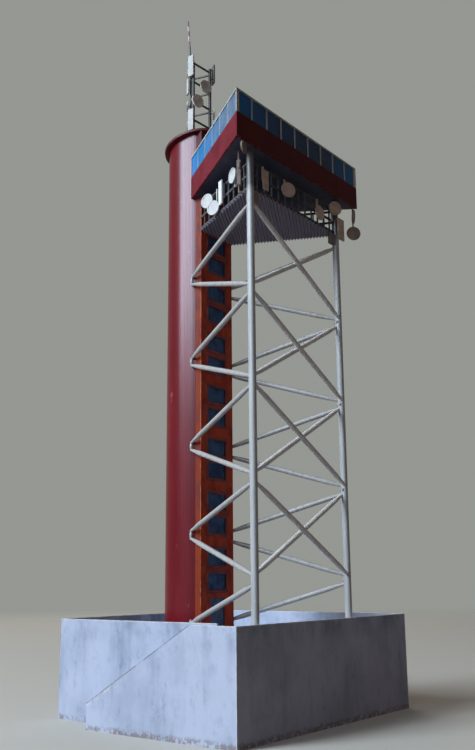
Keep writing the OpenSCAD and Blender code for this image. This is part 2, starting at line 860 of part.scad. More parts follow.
// Head rail and mullions of the front, in one piece
module cabin_front_frame() {
    color("cornsilk")
        placed() difference() {
            front_strip(sill_z, cabin_top, 0, frame_t);
            translate([-cabin_x, -cabin_front, 0]) window_row(cabin_w, front_windows);
        }
}

module flank_frame() {
    difference() {
        flank_strip(sill_z, cabin_top, 0, frame_t);
        on_cabin_flank() translate([-cabin_flank, 0, 0]) window_row(cabin_flank, flank_windows);
    }
}

module cabin_left_frame() {
    color("cornsilk") placed() flank_frame();
}

module cabin_right_frame() {
    color("cornsilk") placed() right_side() flank_frame();
}

// The sheet of glazing close behind each frame, standing on the band below
module cabin_front_glass() {
    color("midnightblue")
        placed() front_strip(sill_z, cabin_top - lid_t, frame_t, frame_t + pane_t);
}

module flank_glass() {
    flank_strip(sill_z, cabin_top - lid_t, frame_t, frame_t + pane_t);
}

module cabin_left_glass() {
    color("dodgerblue") placed() flank_glass();
}

module cabin_right_glass() {
    color("midnightblue") placed() right_side() flank_glass();
}

// ---- Mast ----

// Along the face between post i and the next: x runs along the face and -y points outwards
module on_mast_face(i) {
    translate(mast_post(i)) rotate([0, 0, mast_turn + 120 * i]) children();
}

// Each post is turned so that the seam of its round face lies clear of the bars and the aerials
module mast_posts(below, above = 0) {
    for (i = [0 : 2])
        translate(mast_post(i) + [0, 0, mast_base - below]) rotate([0, 0, mast_turn + 120 * (i + 1)])
            cylinder(h = mast_top - mast_base + below + above, d = post_d);
}

// Three posts on the sloping roof. The front bars fall to the right, and the others are level below them
module mast_frame() {
    color("dimgray")
        placed() difference() {
            union() {
                mast_posts(mast_r);
                for (i = [0 : mast_bars - 1]) {
                    on_mast_face(0)
                        square_bar([0, 0, bar_z(i)], [mast_side, 0, bar_z(i) - bar_fall], bar_t);
                    for (face = [1, 2])
                        on_mast_face(face)
                            translate([0, 0, bar_z(i) - bar_drop])
                                square_bar([0, 0, 0], [mast_side, 0, 0], bar_t);
                }
            }
            on_slope() translate([0, 0, roof_t - drum_d]) cylinder(h = drum_d, d = roof_d);
        }
}

// At height z on post i: -y points outwards at the given angle from +x
module on_post(i, angle, z) {
    translate(mast_post(i) + [0, 0, z]) rotate([0, 0, angle + 90]) children();
}

// A panel on a post, with two stubs
module post_panel(i, z, h) {
    reach = post_d / 2 + stand_off;
    on_post(i, panel_aim[i], z) {
        translate([0, -reach, 0]) panel(mast_panel_w, h);
        for (up = [-1, 1]) translate([0, 0, up * h / 4]) stub(reach + e);
    }
}

// A dish on a post, with one stub
module post_dish(i, z, d) {
    reach = post_d / 2 + stand_off;
    on_post(i, dish_aim[i], z) {
        translate([0, -reach, 0]) dish(d);
        stub(reach + e);
    }
}

// Two tall panels one over the other on the left post and a shorter one on each of the others
module mast_panels() {
    upper = mast_top - panel_h / 4;
    lower = bar_z(0) - stub_d;
    color("whitesmoke")
        placed() difference() {
            union() {
                post_panel(0, upper, panel_h);
                post_panel(0, lower, panel_h);
                post_panel(1, upper, panel_h * 0.9);
                post_panel(2, mast_top - panel_h * 0.7, panel_h * 0.75);
            }
            mast_posts(mast_r, rod_foot);
        }
}

// A dish on front bar i, at distance x from the bar's left end
module bar_dish(i, x, d) {
    z = bar_z(i) - bar_fall * x / mast_side;
    on_mast_face(0) {
        translate([x, -bar_t / 2 - stand_off, z]) dish(d);
        translate([x, -bar_t / 2, z]) stub(stand_off + e);
    }
}

// Three dishes on the rear post, one on the right post and two on the front bars
module mast_dishes() {
    color("lightgray")
        placed() {
            difference() {
                union() {
                    post_dish(2, mast_top - stub_d, small_dish_d);
                    post_dish(2, bar_z(1) + mast_bay / 4, small_dish_d);
                    post_dish(2, bar_z(0) + mast_bay / 5, small_dish_d * 0.8);
                    post_dish(1, bar_z(1) - bar_drop - stub_d, small_dish_d);
                }
                mast_posts(mast_r, rod_foot);
            }
            bar_dish(1, mast_side * 0.16, dish_d);
            bar_dish(2, mast_side * 0.65, dish_d);
        }
}

// A thin rod that leans on the rear post's top: a dark foot, then stripes of slightly different girth
module mast_rod() {
    color("red")
        placed() difference() {
            translate(mast_post(2) + [0, 0, mast_top]) rotate([0, -rod_lean, -rod_lean_turn]) {
                translate([0, 0, -post_d]) cylinder(h = rod_foot + post_d, d = rod_d * 1.2);
                for (i = [0 : stripes - 1])
                    translate([0, 0, rod_foot + i * stripe_h])
                        cylinder(h = stripe_h, d = rod_d * (i % 2 == 0 ? 1 : 0.92));
            }
            translate(mast_post(2) + [0, 0, mast_top - 2 * post_d]) cylinder(h = 2 * post_d, d = 2 * post_d);
        }
}

front_wall();
right_wall();
back_wall();
left_wall();
deck();
landing();
stair_flight();
stair_wall();
drum();
drum_roof();
window_strip();
stair_windows();
shaft_door();
left_leg();
right_leg();
front_bracing();
left_bracing();
right_bracing();
gallery_floor();
front_railing();
left_railing();
right_railing();
leg_plates();
left_dishes();
left_panels();
corner_aerials();
front_dishes();
front_panels();
hanging_aerials();
cabin_floor();
cabin_roof();
cabin_front_band();
cabin_left_band();
cabin_right_band();
cabin_front_frame();
cabin_left_frame();
cabin_right_frame();
cabin_front_glass();
cabin_left_glass();
cabin_right_glass();
mast_frame();
mast_panels();
mast_dishes();
mast_rod();
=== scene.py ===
import math
import bmesh
import bpy
from mathutils import Matrix, Vector


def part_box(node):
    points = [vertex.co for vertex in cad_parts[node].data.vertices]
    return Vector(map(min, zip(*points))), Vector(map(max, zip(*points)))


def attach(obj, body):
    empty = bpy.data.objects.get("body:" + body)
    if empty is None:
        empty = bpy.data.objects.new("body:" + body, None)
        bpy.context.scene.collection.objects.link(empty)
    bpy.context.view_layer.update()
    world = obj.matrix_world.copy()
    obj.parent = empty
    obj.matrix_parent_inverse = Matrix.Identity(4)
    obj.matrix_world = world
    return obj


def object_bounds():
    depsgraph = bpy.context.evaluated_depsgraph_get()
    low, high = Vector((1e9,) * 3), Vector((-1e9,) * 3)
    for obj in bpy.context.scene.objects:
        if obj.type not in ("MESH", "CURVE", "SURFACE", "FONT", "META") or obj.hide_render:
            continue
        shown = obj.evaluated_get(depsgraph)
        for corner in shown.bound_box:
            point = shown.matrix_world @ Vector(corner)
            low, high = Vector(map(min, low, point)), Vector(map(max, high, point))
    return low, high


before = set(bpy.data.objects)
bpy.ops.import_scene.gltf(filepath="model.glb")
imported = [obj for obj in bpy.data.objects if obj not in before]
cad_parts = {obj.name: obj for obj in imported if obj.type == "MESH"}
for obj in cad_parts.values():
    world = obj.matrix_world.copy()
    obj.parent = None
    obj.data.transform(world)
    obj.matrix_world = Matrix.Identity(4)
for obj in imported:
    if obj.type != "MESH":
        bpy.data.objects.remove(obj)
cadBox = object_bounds()
print("frame loaded:", len(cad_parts), "nodes")

millimetre = 0.001


class Signal:  # wraps one output socket, so that sums are written as sums
    def __init__(self, tree, socket):
        self.tree = tree
        self.socket = socket

    def math(self, operation, *others, swap=False):
        node = self.tree.nodes.new("ShaderNodeMath")
        node.operation = operation
        values = [self, *others]
        if swap:
            values.reverse()
        for slot, value in zip(node.inputs, values):
            plug(self.tree, slot, value)
        return Signal(self.tree, node.outputs[0])

    def __add__(self, other):
        return self.math("ADD", other)

    __radd__ = __add__

    def __mul__(self, other):
        return self.math("MULTIPLY", other)

    __rmul__ = __mul__

    def __sub__(self, other):
        return self.math("SUBTRACT", other)

    def __rsub__(self, other):
        return self.math("SUBTRACT", other, swap=True)

    def __truediv__(self, other):
        return self.math("DIVIDE", other)

    def __rtruediv__(self, other):
        return self.math("DIVIDE", other, swap=True)

    def __gt__(self, other):
        return self.math("GREATER_THAN", other)

    def __lt__(self, other):
        return self.math("LESS_THAN", other)

    def __abs__(self):
        return self.math("ABSOLUTE")


def plug(tree, slot, value):
    if isinstance(value, Signal):
        tree.links.new(value.socket, slot)
    elif isinstance(value, tuple) and len(value) == 3 and slot.type == "RGBA":
        slot.default_value = (*value, 1)
    else:
        slot.default_value = value


def addNode(tree, kind, settings=None, sockets=None, out=0):  # one node with its settings and inputs filled in
    node = tree.nodes.new(kind)
    for setting, value in (settings or {}).items():
        setattr(node, setting, value)
    for socket, value in (sockets or {}).items():
        plug(tree, node.inputs[socket], value)
    return Signal(tree, node.outputs[out])


def addObject(name, data):
    thing = bpy.data.objects.new(name, data)
    bpy.context.scene.collection.objects.link(thing)
    return thing


class Finish:  # one material: constants sit on the shader's own sockets
    def __init__(self, name, **constants):
        self.material = bpy.data.materials.new(name)
        self.material.use_nodes = True
        self.tree = self.material.node_tree
        self.shader = self.tree.nodes["Principled BSDF"]
        for socket, value in constants.items():
            plug(self.tree, self.shader.inputs[socket.replace("_", " ")], value)
        spot = self.add("ShaderNodeTexCoord", out="Object")
        self.spot = self.add("ShaderNodeVectorMath", {"operation": "SCALE"}, {"Vector": spot, "Scale": 1 / millimetre})
        self.x, self.y, self.z = self.axes(self.spot)

    def add(self, kind, settings=None, sockets=None, out=0):
        return addNode(self.tree, kind, settings, sockets, out)

    def axes(self, vector):
        node = self.tree.nodes.new("ShaderNodeSeparateXYZ")
        plug(self.tree, node.inputs[0], vector)
        return [Signal(self.tree, socket) for socket in node.outputs]

    def facing(self, axis):
        return self.axes(self.add("ShaderNodeNewGeometry", out="Normal"))["xyz".index(axis)]

    def noise(self, size, detail=3.0, stretch=(1, 1, 1), seed=0.0):
        # size is one blotch in millimetres
        moved = self.add("ShaderNodeMapping", None,
                         {"Vector": self.spot, "Location": (seed, seed * 1.7, seed * 0.6), "Scale": stretch})
        return self.add("ShaderNodeTexNoise", None,
                        {"Vector": moved, "Scale": 1 / size, "Detail": detail, "Roughness": 0.6})

    def cracks(self, size, width, seed=0.0):  # thin broken lines where two cells meet
        bend = self.noise(size / 3, 2.0, seed=seed + 9)
        wobble = self.add("ShaderNodeVectorMath", {"operation": "ADD"},
                          {0: self.spot, 1: self.vector(bend * 4, bend * 3, bend * 5)})
        edge = self.add("ShaderNodeTexVoronoi", {"feature": "DISTANCE_TO_EDGE"},
                        {"Vector": wobble, "Scale": 1 / size}, out="Distance")
        return self.ramp(edge, 0, width, 1, 0) * self.ramp(self.noise(size, 1.0, seed=seed), 0.5, 0.62)

    def vector(self, x, y, z):
        return self.add("ShaderNodeCombineXYZ", None, {0: x, 1: y, 2: z})

    def ramp(self, value, low, high, toLow=0.0, toHigh=1.0):
        return self.add("ShaderNodeMapRange", {"interpolation_type": "SMOOTHSTEP"},
                        {"Value": value, "From Min": low, "From Max": high, "To Min": toLow, "To Max": toHigh})

    def mix(self, first, second, share):
        return self.add("ShaderNodeMix", {"data_type": "RGBA"}, {0: share, 6: first, 7: second}, out=2)

    def feed(self, **varying):
        for socket, value in varying.items():
            plug(self.tree, self.shader.inputs[socket.replace("_", " ")], value)

    def relief(self, height, depth, strength=1.0):  # depth in millimetres
        normal = self.add("ShaderNodeBump", None,
                          {"Height": height, "Distance": depth * millimetre, "Strength": strength})
        self.feed(Normal=normal)


def cover(finish, *names):
    for name in names:
        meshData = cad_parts[name].data
        meshData.materials.clear()
        meshData.materials.append(finish.material)


def edges(name):  # a node's lowest and highest corners in millimetres
    return [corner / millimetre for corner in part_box(name)]


court = {
    "print": (0.51, 0.57, 0.74),
    "stain": (0.23, 0.29, 0.41),
    "slopeEdgeAndShadow": (0.11, 0.085, 0.070),
    "crack": (0.20, 0.24, 0.33),
    "cardEdge": (0.78, 0.77, 0.73),
    "grime": (0.22, 0.15, 0.12),
    "deck": (0.46, 0.50, 0.60),
    "crackSize": 23.0,
    "rimStain": 9.0,
    "grimeHeight": 2.6,
}


def slopeOf(name):  # the upper and lower end of the sloping edge on a wall's outer face, as (y, z)
    low, high = edges(name)
    spots = [vert.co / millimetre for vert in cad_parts[name].data.vertices]
    corners = {(round(spot.y, 2), round(spot.z, 2)) for spot in spots if spot.x < low.x + 0.05 and spot.z > low.z + 1}
    upper = max(corner for corner in corners if corner[1] > high.z - 0.1)
    lower = max(corner for corner in corners if corner[1] < high.z - 0.1)
    return upper, lower


def concreteFinish(name, tone, seed, slope=None):
    made = Finish(name, Roughness=0.82, Specular_IOR_Level=0.25)
    low, high = edges("front_wall")
    corner = edges("stair_wall")[0].x
    top = high.z
    broad = made.ramp(made.noise(21, 4.0, seed=seed), 0.38, 0.70)
    streaks = made.ramp(made.noise(7, 4.0, (1, 1, 0.16), seed + 3), 0.46, 0.78)
    spots = made.ramp(made.noise(2.6, 4.0, (1, 1, 0.6), seed + 6), 0.52, 0.74)
    patchy = made.ramp(made.noise(13, 4.0, seed=seed + 4), 0.42, 0.66)
    underRim = made.ramp(made.z, top - court["rimStain"], top - 1) * patchy
    share = (broad * 0.40 + streaks * 0.46 + spots * 0.34 + underRim * 0.50).math("MINIMUM", 1.0)
    stained = made.mix(tone, court["stain"], share)
    lines = made.cracks(court["crackSize"], 0.009, seed)
    cracked = made.mix(stained, court["crack"], lines * 0.34)
    reach = made.noise(5, 3.0, seed=seed + 5) * 3.2 + court["grimeHeight"] - 1.6
    foot = made.ramp(made.noise(1.5, 4.0, seed=seed + 7), 0.43, 0.55) * made.ramp(made.z / reach, 0.35, 1.0, 1, 0)
    dirty = made.mix(cracked, court["grime"], foot * 0.7)
    if slope:
        (upperY, upperZ), (lowerY, lowerZ) = slope
        length = math.hypot(upperY - lowerY, upperZ - lowerZ)
        fall, run = (lowerZ - upperZ) / length, (lowerY - upperY) / length
        across = abs((made.y - upperY) * fall - (made.z - upperZ) * run)
        # painted shadow: a thin dark line along the sloping edge on the outer face
        line = made.ramp(across, 0.18, 0.5, 1, 0) * made.ramp(made.noise(6, 3.0, seed=seed + 11), 0.34, 0.55)
        rubbed = made.ramp(across, 0.8, 3.0, 1, 0) * made.ramp(made.noise(1.6, 4.0, seed=seed + 12), 0.52, 0.60)
        nearFoot = made.ramp(made.z, lowerZ + 3, lowerZ + 11, 1, 0)
        dirty = made.mix(dirty, court["cardEdge"], rubbed * nearFoot * 0.45)
        dirty = made.mix(dirty, court["slopeEdgeAndShadow"], line * 0.65)
    rim = made.ramp(made.z, top - 0.45, top - 0.1) * made.ramp(made.noise(3.0, 3.0, seed=seed + 8), 0.36, 0.58)
    nearCorner = abs(made.x - corner).math("MAXIMUM", abs(made.y - low.y))
    worn = made.ramp(nearCorner, 0.15, 0.5, 1, 0) * made.ramp(made.noise(4.0, 3.0, seed=seed + 9), 0.38, 0.60)
    upward = made.facing("z")
    sloping = (upward > 0.3) * (upward < 0.95)
    edged = made.mix(dirty, court["cardEdge"], (rim * 0.7 + worn * 0.6 + (upward > 0.95) * 0.8).math("MINIMUM", 0.9))
    # the sloping top faces take the same dark tone
    made.feed(Base_Color=made.mix(edged, court["slopeEdgeAndShadow"], sloping * 0.85))
    grain = made.noise(0.6, 2.0, seed=seed)
    made.relief(grain + broad * 0.4 - lines, 0.05, 0.35)
    return made


def deckFinish():
    made = Finish("courtDeck", Roughness=0.8)
    cloud = made.ramp(made.noise(8, 5.0, seed=53), 0.35, 0.70)
    specks = made.ramp(made.noise(0.9, 3.0, seed=58), 0.58, 0.68)
    made.feed(Base_Color=made.mix(made.mix(court["deck"], court["stain"], cloud * 0.6), court["crack"], specks * 0.5))
    made.relief(made.noise(0.5, 2.0, seed=5), 0.05, 0.4)
    return made


cover(concreteFinish("courtPrint", court["print"], 2.0), "left_wall", "back_wall", "right_wall", "front_wall")
cover(concreteFinish("stairPrint", court["print"], 2.0, slopeOf("stair_wall")), "stair_wall")
cover(deckFinish(), "deck", "landing", "stair_flight")
print("court finished")


shaft = {
    "red": (0.150, 0.0015, 0.008),
    "bright": (0.200, 0.005, 0.014),
    "grooveShadeAndSeam": (0.090, 0.003, 0.008),
    "scuff": (0.46, 0.24, 0.25),
    "chip": (0.055, 0.012, 0.016),
    "ribs": 120,
    "ribDepth": 0.045,
    "seams": (0.38, 0.70),
    "seamWidth": 0.22,
    "roof": (0.110, 0.012, 0.014),
    "roofBright": (0.20, 0.035, 0.04),
}


def shaftFinish():
    made = Finish("ribbedShaft", Coat_Roughness=0.26, Coat_IOR=1.4, Specular_IOR_Level=0.03)
    low, high = edges("drum")
    radius = (high.x - low.x) / 2
    angle = (made.x - (low.x + radius)).math("ARCTAN2", made.y - (high.y - radius))
    rib = (angle * shaft["ribs"]).math("SINE")
    uneven = made.noise(7, 3.0, (1, 1, 0.12), 4)
    tone = made.mix(shaft["red"], shaft["bright"], made.ramp(uneven, 0.35, 0.7))
    # painted shade: the troughs between the ribs painted darker
    grooveShade = made.mix(tone, shaft["grooveShadeAndSeam"], made.ramp(rib, -0.2, -1.0, 0, 0.45))
    scuffs = made.ramp(made.noise(4, 5.0, (1, 1, 0.5), 17), 0.66, 0.74)
    worn = made.mix(grooveShade, shaft["scuff"], scuffs * 0.45)
    places = made.ramp(made.noise(11, 2.0, seed=27), 0.56, 0.66)
    chips = made.ramp(made.noise(1.1, 3.0, (1, 1, 0.5), 23), 0.66, 0.71) * places
    worn = made.mix(worn, shaft["chip"], chips * 0.7)
    for share in shaft["seams"]:
        # the seams take the same dark tone, as joint lines
        height = low.z + (high.z - low.z) * share + made.noise(6, 2.0, seed=29) * 0.8
        line = made.ramp(abs(made.z - height), 0.0, shaft["seamWidth"], 1, 0)
        worn = made.mix(worn, shaft["grooveShadeAndSeam"], line * 0.5)
    made.feed(Base_Color=worn, Roughness=made.ramp(uneven, 0.3, 0.7, 0.34, 0.44),
              Coat_Weight=made.ramp(scuffs, 0, 1, 0.95, 0.25) * made.ramp(rib, -1.0, 0.3, 0.42, 1))
    made.relief(rib, shaft["ribDepth"], 0.7)
    return made


def roofFinish():
    made = Finish("shaftRoof", Specular_IOR_Level=0.2)
    fibre = made.noise(1.4, 4.0, seed=6)
    made.feed(Base_Color=made.mix(shaft["roof"], shaft["roofBright"], made.ramp(fibre, 0.45, 0.75)),
              Roughness=made.ramp(fibre, 0.3, 0.7, 0.42, 0.6))
    made.relief(fibre, 0.04, 0.4)
    return made


strip = {
    "front": (0.53, 0.066, 0.028),
    "frontDark": (0.32, 0.034, 0.020),
    "revealShade": (0.060, 0.014, 0.016),
    "side": (0.262, 0.034, 0.005),
    "sideDark": (0.165, 0.024, 0.018),
    "edge": (0.62, 0.24, 0.09),
    "edgeWidth": 0.35,
    # upper: painted shade, a dark maroon for the strip above the cabin's foot
    "upper": (0.085, 0.004, 0.009),
}


def stripFinish():
    made = Finish("windowStrip", Coat_Roughness=0.34, Specular_IOR_Level=0.12)
    low, high = edges("window_strip")
    patches = made.noise(3.2, 4.0, (1, 1, 0.5), 11)
    front = made.mix(strip["front"], strip["frontDark"], made.ramp(patches, 0.38, 0.68))
    side = made.mix(strip["side"], strip["sideDark"], made.ramp(patches, 0.38, 0.72))
    half = (high.x - low.x) / 2
    aside = abs(made.x - (low.x + high.x) / 2)
    fromEdge = abs(aside - half).math("MAXIMUM", made.y - low.y)
    rubs = made.ramp(made.noise(3, 3.0, seed=3), 0.36, 0.58)
    worn = made.ramp(fromEdge, strip["edgeWidth"] * 0.4, strip["edgeWidth"], 1, 0) * rubs
    sideways = abs(made.facing("x")) > 0.7
    flank = sideways * (aside > half - 0.2)
    # painted shade: the faces inside the window openings and the strip's upward and downward faces painted near-black
    revealShade = (sideways + (abs(made.facing("z")) > 0.7)).math("MINIMUM", 1.0) - flank
    card = made.mix(made.mix(front, side, flank), strip["revealShade"], revealShade)
    cabinFoot = edges("cabin_left_band")[0].z  # painted shade: the strip is painted dark maroon above this height
    paintedShadeAbove = made.ramp(made.z, cabinFoot - 1, cabinFoot + 2)
    card = made.mix(card, strip["upper"], paintedShadeAbove)
    worn = worn * (1 - paintedShadeAbove * 0.85)
    made.feed(Base_Color=made.mix(card, strip["edge"], worn * 0.75),
              Roughness=made.ramp(patches, 0.3, 0.7, 0.42, 0.58), Coat_Weight=flank * 0.08 + 0.02)
    made.relief(made.noise(0.5, 2.0, seed=2), 0.03, 0.35)
    return made


panes = {
    "deep": (0.030, 0.058, 0.150),
    "pale": (0.062, 0.150, 0.310),
    "frame": (0.230, 0.050, 0.050),
    "frameDark": (0.130, 0.030, 0.036),
    "doorDeep": (0.070, 0.110, 0.200),
    "doorPale": (0.150, 0.190, 0.290),
}


def paneFinish(name, deep, pale, size, gloss=0.02, rear=None, ends=None):
    # rear: the tone at the far end of a side; ends: the tone at both ends of the front
    made = Finish(name, Coat_Roughness=0.12, Coat_Weight=gloss, Specular_IOR_Level=0.06)
    cloud = made.ramp(made.noise(size, 4.0, seed=21), 0.32, 0.70)
    tone = made.mix(deep, pale, cloud)
    if rear:
        low, high = edges("cabin_left_glass")
        tone = made.mix(tone, rear, made.ramp(made.y, low.y + 3, high.y - 4) * 0.95)
    if ends:
        low, high = edges("cabin_front_glass")
        third = (high.x - low.x) / 3
        near = made.ramp(made.x, low.x, low.x + third, 1, 0) + made.ramp(made.x, high.x - third, high.x, 0, 1)
        tone = made.mix(tone, ends, near * 0.9)
    made.feed(Base_Color=tone, Roughness=made.ramp(cloud, 0, 1, 0.24, 0.40))
    made.relief(made.noise(0.5, 2.0, seed=2), 0.02, 0.2)
    return made


cover(shaftFinish(), "drum")
cover(roofFinish(), "drum_roof")
cover(stripFinish(), "window_strip")
cover(paneFinish("stairPanes", panes["deep"], panes["pale"], 5.5), "stair_windows")
cover(paneFinish("shaftDoor", panes["doorDeep"], panes["doorPale"], 4.0), "shaft_door")
print("shaft finished")


wood = {
    "leg": (0.47, 0.49, 0.51),
    "brace": (0.46, 0.46, 0.46),
    "litFrontBrace": (0.79, 0.79, 0.80),
    "bare": (0.36, 0.29, 0.20),
    "shadeTone": (0.085, 0.075, 0.070),
}


def paintedWood(name, paint, seed, grain, shadeFrom=None):  # the last argument: the height above which the leg is painted dark, as painted shade
    made = Finish(name)
    lines = made.noise(1.3, 3.0, grain, seed)
    thin = made.ramp(made.noise(5, 4.0, seed=seed + 2), 0.60, 0.76)
    coat = made.mix(paint, tuple(c * 0.76 for c in paint), made.ramp(lines, 0.45, 0.75))
    painted = made.mix(coat, wood["bare"], thin * 0.24)
    if shadeFrom:
        # painted shade: the legs' upper ends, above the gallery floor, painted dark brown-grey
        wavy = made.z + made.noise(4, 2.0, seed=seed) * 3
        painted = made.mix(painted, wood["shadeTone"], made.ramp(wavy, shadeFrom - 1, shadeFrom + 3))
    made.feed(Base_Color=painted, Roughness=made.ramp(lines, 0.3, 0.7, 0.44, 0.60))
    made.relief(lines, 0.03, 0.35)
    return made


cover(paintedWood("paintedLeg", wood["leg"], 3.0, (1, 1, 0.07), edges("gallery_floor")[1].z), "left_leg", "right_leg")
cover(paintedWood("paintedBrace", wood["brace"], 9.0, (1, 1, 0.5)), "left_bracing", "right_bracing")
# painted light: the front braces painted a much lighter grey than the other braces
cover(paintedWood("litFrontBracePaint", wood["litFrontBrace"], 15.0, (1, 1, 0.5)), "front_bracing")


def cardFinish(name, base, other, size=2.0, rough=0.7, seed=1.0):  # painted card: soft clouding, paper fibre
    made = Finish(name, Specular_IOR_Level=0.25)
    cloud = made.ramp(made.noise(size, 4.0, seed=seed), 0.38, 0.68)
    fibre = made.noise(0.35, 3.0, seed=seed + 4)
    made.feed(Base_Color=made.mix(base, other, cloud),
              Roughness=made.ramp(fibre, 0.3, 0.7, rough - 0.08, rough + 0.08))
    made.relief(fibre, 0.04, 0.4)
    return made


mastCard = {"pale": (0.62, 0.64, 0.65), "clouded": (0.50, 0.51, 0.52), "dark": (0.16, 0.155, 0.15)}


def mastPanelFinish():  # pale on the left post; the right post's panel painted dark grey as painted shade
    made = Finish("mastPanel", Roughness=0.7, Specular_IOR_Level=0.25)
    low, high = edges("mast_frame")
    pale = made.mix(mastCard["pale"], mastCard["clouded"], made.ramp(made.noise(2.2, 4.0, seed=3), 0.38, 0.68))
    middle = (low.x + high.x) / 2
    # painted shade: the panel on the right post painted dark grey
    made.feed(Base_Color=made.mix(pale, mastCard["dark"], made.ramp(made.x, middle, middle + 1)))
    made.relief(made.noise(0.35, 3.0, seed=7), 0.04, 0.4)
    return made


gallery = {
    "ink": (0.120, 0.110, 0.160),
    "ridgeHighlight": (0.40, 0.37, 0.47),
    "lattice": (0.30, 0.28, 0.37),
    "pitch": 1.1,
}


def fluteFinish():
    made = Finish("corrugatedFloor")
    fibre = made.noise(0.5, 3.0, seed=14)
    flat = made.mix(gallery["ink"], tuple(c * 1.5 for c in gallery["ink"]), made.ramp(fibre, 0.4, 0.7))
    cross = ((made.x * 0.5 + made.y) * (2 * math.pi / gallery["pitch"])).math("SINE")
    inked = made.mix(flat, gallery["lattice"], made.ramp(cross, 0.2, 0.9) * 0.6)
    # painted highlight: the flat crests and troughs of the flutes painted lighter
    highlightedRidges = made.ramp(abs(made.facing("z")), 0.93, 1.0)
    made.feed(Base_Color=made.mix(inked, gallery["ridgeHighlight"], highlightedRidges * 0.5),
              Roughness=made.ramp(fibre, 0.3, 0.7, 0.62, 0.82))
    made.relief(fibre + cross * 0.3, 0.05, 0.4)
    return made


cards = {  # the two tones, the size of the clouding, roughness, seed and nodes of each
    # painted shade: the front and right railings are the left railing's card painted darker
    "shadedFrontRail": ((0.036, 0.034, 0.044), (0.075, 0.070, 0.080), 3.0, 0.7, 1.0, ("front_railing",)),
    "shadedRail": ((0.018, 0.018, 0.019), (0.035, 0.034, 0.035), 3.0, 0.7, 1.0, ("right_railing",)),
    "paleRail": ((0.12, 0.12, 0.13), (0.075, 0.075, 0.08), 3.0, 0.7, 1.0, ("left_railing",)),
    "bracketPlate": ((0.17, 0.155, 0.15), (0.24, 0.21, 0.19), 1.5, 0.7, 1.0, ("leg_plates",)),
    "whiteDish": ((0.70, 0.72, 0.73), (0.62, 0.64, 0.66), 2.2, 0.7, 1.0, ("left_dishes",)),
    # painted light: the left panels are the white card painted lighter than the left dishes
    "litWhitePanel": ((0.88, 0.90, 0.91), (0.80, 0.82, 0.84), 2.2, 0.7, 1.0, ("left_panels",)),
    # painted shade: the front, corner and hanging aerials are the white card painted tan and brown
    "shadedTanAerial": ((0.66, 0.54, 0.46), (0.48, 0.38, 0.31), 2.2, 0.7, 4.0, ("front_dishes", "front_panels")),
    "shadedCornerAerial": ((0.24, 0.18, 0.155), (0.15, 0.115, 0.095), 2.0, 0.7, 7.0, ("corner_aerials",)),
    "shadedBrownAerial": ((0.40, 0.31, 0.24), (0.23, 0.16, 0.12), 2.6, 0.7, 6.0, ("hanging_aerials",)),
    "greyDish": ((0.80, 0.79, 0.76), (0.56, 0.54, 0.51), 2.6, 0.65, 9.0, ("mast_dishes",)),
    "mastWire": ((0.050, 0.044, 0.042), (0.120, 0.104, 0.094), 1.4, 0.55, 1.0, ("mast_frame",)),
}

cover(fluteFinish(), "gallery_floor")
cover(mastPanelFinish(), "mast_panels")
for name, (base, other, size, rough, seed, nodes) in cards.items():
    cover(cardFinish(name, base, other, size, rough, seed), *nodes)
print("frame and aerials finished")


cabin = {
    "red": (0.205, 0.028, 0.040),
    "redDark": (0.150, 0.018, 0.026),
    "redWorn": (0.42, 0.12, 0.12),
    "shadedFrontRed": (0.092, 0.006, 0.008),
    "shadedFrontRedDark": (0.068, 0.004, 0.006),
    "frame": (0.46, 0.48, 0.47),
    "underside": (0.040, 0.046, 0.080),
    "undersidePale": (0.075, 0.082, 0.130),
    "roof": (0.30, 0.30, 0.31),
    "roofPale": (0.37, 0.37, 0.36),
    "deepSide": (0.105, 0.175, 0.30),
    "paleSide": (0.185, 0.265, 0.39),
    "rearSide": (0.004, 0.225, 0.600),
    "endsFront": (0.004, 0.145, 0.450),
    "shadedDeepFront": (0.008, 0.026, 0.080),
    "shadedPaleFront": (0.020, 0.068, 0.190),
}


def bandFinish(name, red, dark):
    made = Finish(name, Coat_Weight=0.02, Coat_Roughness=0.35, Specular_IOR_Level=0.04)
    low = edges("cabin_front_band")[0]
    cloud = made.ramp(made.noise(9, 4.0, seed=8), 0.36, 0.70)
    fibre = made.noise(0.4, 3.0, seed=5)
    printed = made.mix(red, dark, cloud)
    lower = made.ramp(made.z, low.z, low.z + 0.55, 1, 0)
    rub = lower * made.ramp(made.noise(1.8, 3.0, seed=12), 0.44, 0.60)
    made.feed(Base_Color=made.mix(printed, cabin["redWorn"], rub * 0.3),
              Roughness=made.ramp(fibre, 0.3, 0.7, 0.46, 0.6))
    made.relief(fibre, 0.03, 0.35)
    return made


# painted shade: the front band is the side band's red painted much darker
cover(bandFinish("shadedFrontBand", cabin["shadedFrontRed"], cabin["shadedFrontRedDark"]), "cabin_front_band")
cover(bandFinish("sideBand", cabin["red"], cabin["redDark"]), "cabin_left_band", "cabin_right_band")
cover(cardFinish("paleFrame", cabin["frame"], tuple(c * 0.75 for c in cabin["frame"]), 2.6, 0.6, 5.0),
      "cabin_front_frame", "cabin_left_frame", "cabin_right_frame")
# painted shade: the front panes' tones are the side panes' blues painted much darker
cover(paneFinish("shadedFrontGlazing", cabin["shadedDeepFront"], cabin["shadedPaleFront"], 7.5, ends=cabin["endsFront"]),
      "cabin_front_glass")
cover(paneFinish("sideGlazing", cabin["deepSide"], cabin["paleSide"], 9.0, 0.15, cabin["rearSide"]),
      "cabin_left_glass", "cabin_right_glass")
cover(cardFinish("cabinUnderside", cabin["underside"], cabin["undersidePale"], 12.0, 0.75, 7.0), "cabin_floor")
cover(cardFinish("cabinRoof", cabin["roof"], cabin["roofPale"], 8.0, 0.8, 2.0), "cabin_roof")
print("cabin finished")


